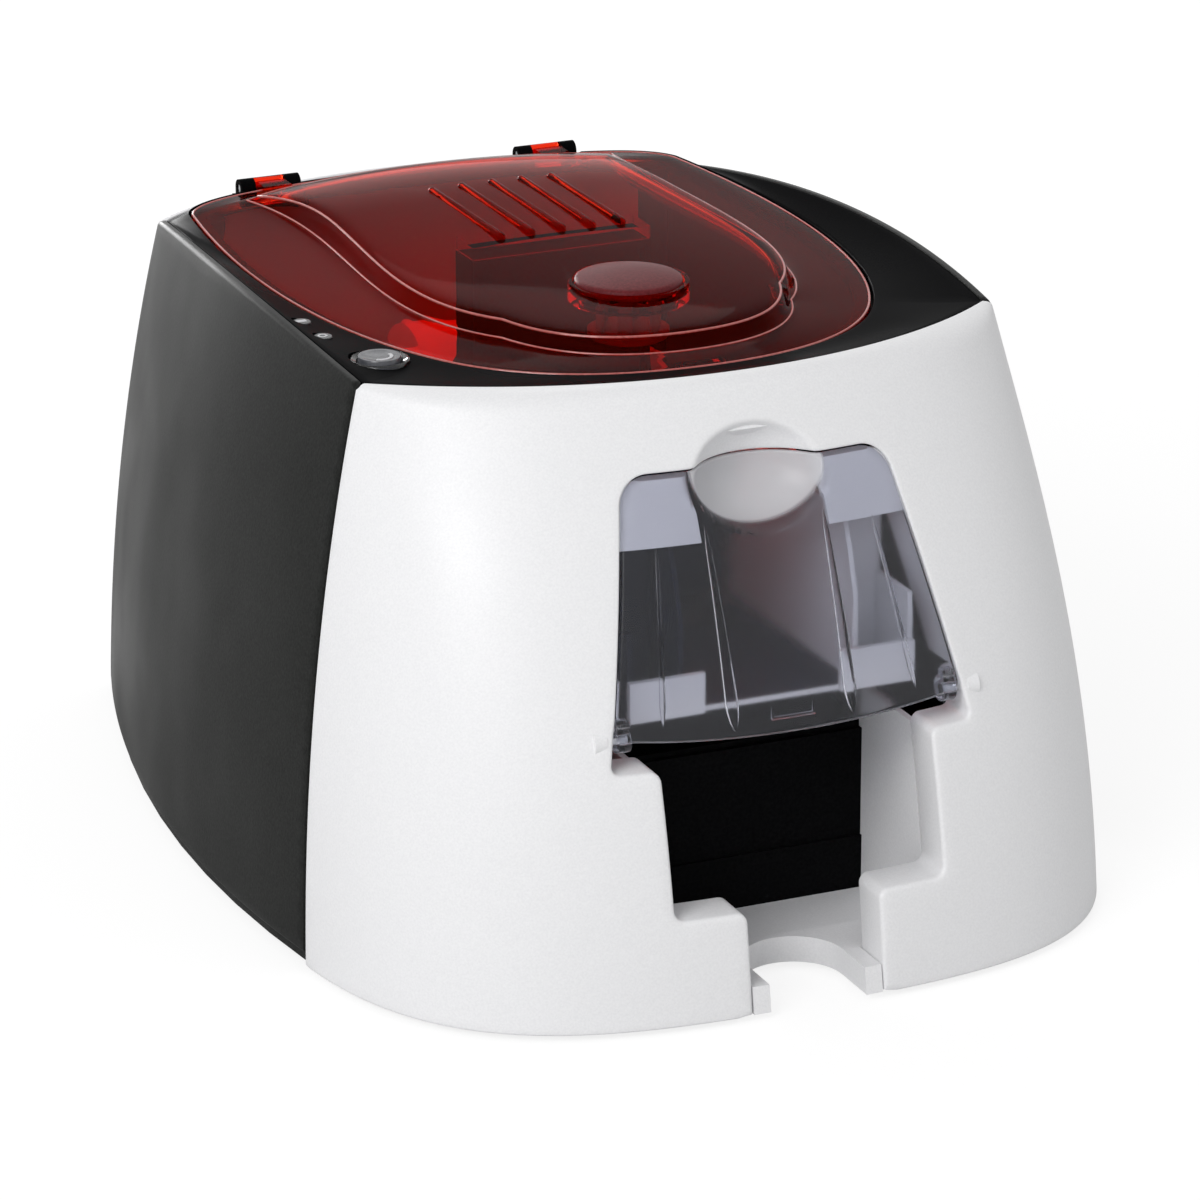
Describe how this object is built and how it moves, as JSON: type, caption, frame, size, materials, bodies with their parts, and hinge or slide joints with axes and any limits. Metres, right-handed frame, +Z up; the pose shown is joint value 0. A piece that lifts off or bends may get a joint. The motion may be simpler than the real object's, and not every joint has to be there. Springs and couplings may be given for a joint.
{
  "type": "id card printer",
  "caption": "Desktop id card printer with a see-through hinged lid, a drop-down card feeder door and an open front card tray.",
  "frame": {"origin": "on the surface the printer stands on, at the middle of its footprint", "axes": "+Z up, +X to the right in a front view, the front faces -Y"},
  "size_m": [0.2638, 0.3747, 0.1895],
  "materials": {
    "charcoal_shell": "fine spark texture",
    "white_shell": "satin",
    "satin_black": "satin",
    "clear_red": "polished, see-through",
    "frosted_clear": "frosted, see-through",
    "rubber": "matte",
    "steel": "plated",
    "acetal": "moulded",
    "circuit_board": "lacquered"
  },
  "bodies": {
    "printer": {"base_pan": "charcoal_shell", "left_side_panel": "charcoal_shell", "right_side_panel": "charcoal_shell", "front_cover": "white_shell", "rear_cover": "white_shell", "card_tray": "white_shell", "feeder_hopper": "white_shell", "top_frame": "satin_black", "tray_back_wall": "satin_black", "exit_chute": "satin_black", "card_table": "satin_black", "power_socket": "satin_black", "feed_motor": "satin_black", "button_ring": "frosted_clear", "status_windows": "frosted_clear", "rubber_feet": "rubber", "left_chassis_plate": "steel", "right_chassis_plate": "steel", "rear_cross_plate": "steel", "usb_socket": "steel", "ribbon_motor": "steel", "base_screws": "steel", "chassis_screws": "steel", "latch_catch": "steel", "lid_hinge_pins": "steel", "door_pins": "steel", "idler_studs": "steel", "shaft_bushes": "acetal", "control_board": "circuit_board"},
    "lid": {"lid_shell": "clear_red", "head_bracket": "satin_black", "print_head": "acetal"},
    "release_pad": {"release_pad": "clear_red"},
    "feeder_door": {"feeder_door": "frosted_clear"},
    "control_button": {"control_button": "frosted_clear"},
    "pick_roller": {"pick_roller": "rubber", "pick_gear": "acetal"},
    "front_roller": {"front_roller": "rubber", "front_roller_gear": "acetal"},
    "platen_roller": {"platen_roller": "rubber", "platen_gear": "acetal"},
    "rear_roller": {"rear_roller": "rubber", "rear_roller_gear": "acetal"},
    "front_pinch_roller": {"front_pinch_roller": "rubber"},
    "rear_pinch_roller": {"rear_pinch_roller": "rubber"},
    "long_idler_gear": {"long_idler_gear": "acetal"},
    "front_idler_gear": {"front_idler_gear": "acetal"},
    "rear_idler_gear": {"rear_idler_gear": "acetal"},
    "drive_gear": {"drive_gear": "acetal"},
    "motor_pinion": {"motor_pinion": "acetal"},
    "ribbon_supply": {"ribbon_supply_spool": "white_shell"},
    "ribbon_takeup": {"ribbon_takeup_spool": "white_shell", "takeup_gear": "acetal"},
    "ribbon_pinion": {"ribbon_pinion": "acetal"},
    "card_divider": {"card_divider": "satin_black"}
  },
  "joints": [
    {"name": "lid_hinge", "type": "hinge", "parent": "printer", "child": "lid", "pos_m": [0, 0.128, 0.1745], "axis": [-1, 0, 0], "range_deg": [0, 70]},
    {"name": "release_press", "type": "slide", "parent": "lid", "child": "release_pad", "axis": [0, 0, -1], "range_m": [0, 0.002], "stiffness_N_per_m": 500, "springref_m": -0.001},
    {"name": "feeder_door_hinge", "type": "hinge", "parent": "printer", "child": "feeder_door", "pos_m": [0, -0.16135, 0.0845], "axis": [1, 0, 0], "range_deg": [0, 75]},
    {"name": "control_press", "type": "slide", "parent": "printer", "child": "control_button", "axis": [0, 0, -1], "range_m": [0, 0.001], "stiffness_N_per_m": 400, "springref_m": -0.001},
    {"name": "card_divider_lift", "type": "hinge", "parent": "printer", "child": "card_divider", "pos_m": [0, -0.0599, 0.0862], "axis": [1, 0, 0], "range_deg": [0, 10]},
    {"name": "platen_spin", "type": "hinge", "parent": "printer", "child": "platen_roller", "pos_m": [0, 0.0025, 0.08], "axis": [1, 0, 0], "continuous": true},
    {"name": "pick_spin", "type": "hinge", "parent": "printer", "child": "pick_roller", "pos_m": [0, -0.0775, 0.08], "axis": [1, 0, 0], "continuous": true},
    {"name": "front_roller_spin", "type": "hinge", "parent": "printer", "child": "front_roller", "pos_m": [0, -0.0235, 0.083], "axis": [1, 0, 0], "continuous": true},
    {"name": "rear_roller_spin", "type": "hinge", "parent": "printer", "child": "rear_roller", "pos_m": [0, 0.0285, 0.083], "axis": [1, 0, 0], "continuous": true},
    {"name": "long_idler_spin", "type": "hinge", "parent": "printer", "child": "long_idler_gear", "pos_m": [0, -0.04977, 0.06835], "axis": [1, 0, 0], "continuous": true},
    {"name": "front_idler_spin", "type": "hinge", "parent": "printer", "child": "front_idler_gear", "pos_m": [0, -0.0099, 0.08666], "axis": [1, 0, 0], "continuous": true},
    {"name": "rear_idler_spin", "type": "hinge", "parent": "printer", "child": "rear_idler_gear", "pos_m": [0, 0.0149, 0.08666], "axis": [1, 0, 0], "continuous": true},
    {"name": "drive_gear_spin", "type": "hinge", "parent": "printer", "child": "drive_gear", "pos_m": [0, 0.0025, 0.06292], "axis": [1, 0, 0], "continuous": true},
    {"name": "motor_pinion_spin", "type": "hinge", "parent": "printer", "child": "motor_pinion", "pos_m": [0, 0.0025, 0.04784], "axis": [1, 0, 0], "continuous": true},
    {"name": "front_pinch_spin", "type": "hinge", "parent": "printer", "child": "front_pinch_roller", "pos_m": [0, -0.0235, 0.09416], "axis": [1, 0, 0], "continuous": true},
    {"name": "rear_pinch_spin", "type": "hinge", "parent": "printer", "child": "rear_pinch_roller", "pos_m": [0, 0.0285, 0.09416], "axis": [1, 0, 0], "continuous": true},
    {"name": "supply_spin", "type": "hinge", "parent": "printer", "child": "ribbon_supply", "pos_m": [0, 0.0565, 0.124], "axis": [1, 0, 0], "continuous": true},
    {"name": "takeup_spin", "type": "hinge", "parent": "printer", "child": "ribbon_takeup", "pos_m": [0, -0.048, 0.124], "axis": [1, 0, 0], "continuous": true},
    {"name": "ribbon_pinion_spin", "type": "hinge", "parent": "printer", "child": "ribbon_pinion", "pos_m": [0, -0.048, 0.10592], "axis": [1, 0, 0], "continuous": true}
  ],
  "couplings": [
    {"joint": "front_idler_spin", "follows": "platen_spin", "ratio": -1.3333},
    {"joint": "rear_idler_spin", "follows": "platen_spin", "ratio": -1.3333},
    {"joint": "drive_gear_spin", "follows": "platen_spin", "ratio": -0.88889},
    {"joint": "motor_pinion_spin", "follows": "platen_spin", "ratio": 1.3333},
    {"joint": "front_roller_spin", "follows": "platen_spin", "ratio": 1},
    {"joint": "rear_roller_spin", "follows": "platen_spin", "ratio": 1},
    {"joint": "long_idler_spin", "follows": "platen_spin", "ratio": -0.36364},
    {"joint": "pick_spin", "follows": "platen_spin", "ratio": 1},
    {"joint": "ribbon_pinion_spin", "follows": "takeup_spin", "ratio": -2}
  ]
}
